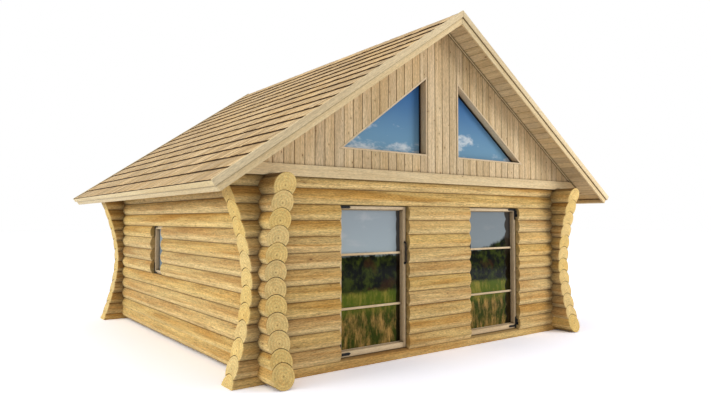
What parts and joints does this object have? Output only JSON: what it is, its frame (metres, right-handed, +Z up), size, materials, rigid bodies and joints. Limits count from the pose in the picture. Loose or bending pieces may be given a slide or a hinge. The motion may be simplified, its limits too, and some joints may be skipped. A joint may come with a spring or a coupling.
{
  "type": "log cabin",
  "caption": "Small round-log cabin with scribed corner joints, glazed hinged front doors, boarded gables with triangular windows and a shingled gable roof.",
  "frame": {"origin": "on the ground, at the middle of the outline seen from above", "axes": "+X to the right of someone facing the doors, -Y out of the front with the doors, +Z up"},
  "size_m": [7.496, 6.8484, 4.8875],
  "materials": {
    "log_wood": "turned round log, clear oil",
    "joinery": "planed softwood",
    "gable_board": "planed tongued board, weathered pale",
    "lining_board": "planed board",
    "gable_trim": "planed lath",
    "framing": "sawn timber",
    "roof_board": "planed board",
    "shingle": "split wooden shingle",
    "trim_board": "planed board",
    "floor_board": "planed board",
    "window_glass": "clear pane",
    "black_iron": "black, satin"
  },
  "bodies": {
    "cabin": {"left_wall_logs": "log_wood", "left_window_logs": "log_wood", "right_wall_logs": "log_wood", "right_window_logs": "log_wood", "back_wall_logs": "log_wood", "front_sill_log": "log_wood", "front_logs_left": "log_wood", "front_logs_middle": "log_wood", "front_logs_right": "log_wood", "front_lintel_logs": "log_wood", "left_roof_boards": "roof_board", "left_shingles": "shingle", "right_roof_boards": "roof_board", "right_shingles": "shingle", "door_frames": "joinery", "door_pintles": "black_iron", "side_window_frames": "joinery", "side_window_sashes": "joinery", "side_window_glass": "window_glass", "side_window_hinges": "black_iron", "front_gable_boards": "gable_board", "front_gable_frame": "framing", "front_gable_lining": "lining_board", "gable_window_frames": "joinery", "gable_window_glass": "window_glass", "back_gable_boards": "gable_board", "back_gable_frame": "framing", "back_gable_lining": "lining_board", "gable_bands": "gable_board", "gable_trims": "gable_trim", "rafters": "framing", "ridge_beam": "framing", "barge_boards": "trim_board", "barge_caps": "trim_board", "eave_fascias": "trim_board", "floor_boards": "floor_board", "floor_joists": "framing"},
    "left_door": {"left_door_leaf": "joinery", "left_door_glass": "window_glass", "left_door_hinges": "black_iron", "left_door_handle": "black_iron"},
    "right_door": {"right_door_leaf": "joinery", "right_door_glass": "window_glass", "right_door_hinges": "black_iron", "right_door_handle": "black_iron"}
  },
  "joints": [
    {"name": "left_door_hinge", "type": "hinge", "parent": "cabin", "child": "left_door", "pos_m": [-1.783, -2.908, 1.11], "axis": [0, 0, -1], "range_deg": [0, 90]},
    {"name": "right_door_hinge", "type": "hinge", "parent": "cabin", "child": "right_door", "pos_m": [1.783, -2.908, 1.11], "axis": [0, 0, 1], "range_deg": [0, 90]}
  ]
}
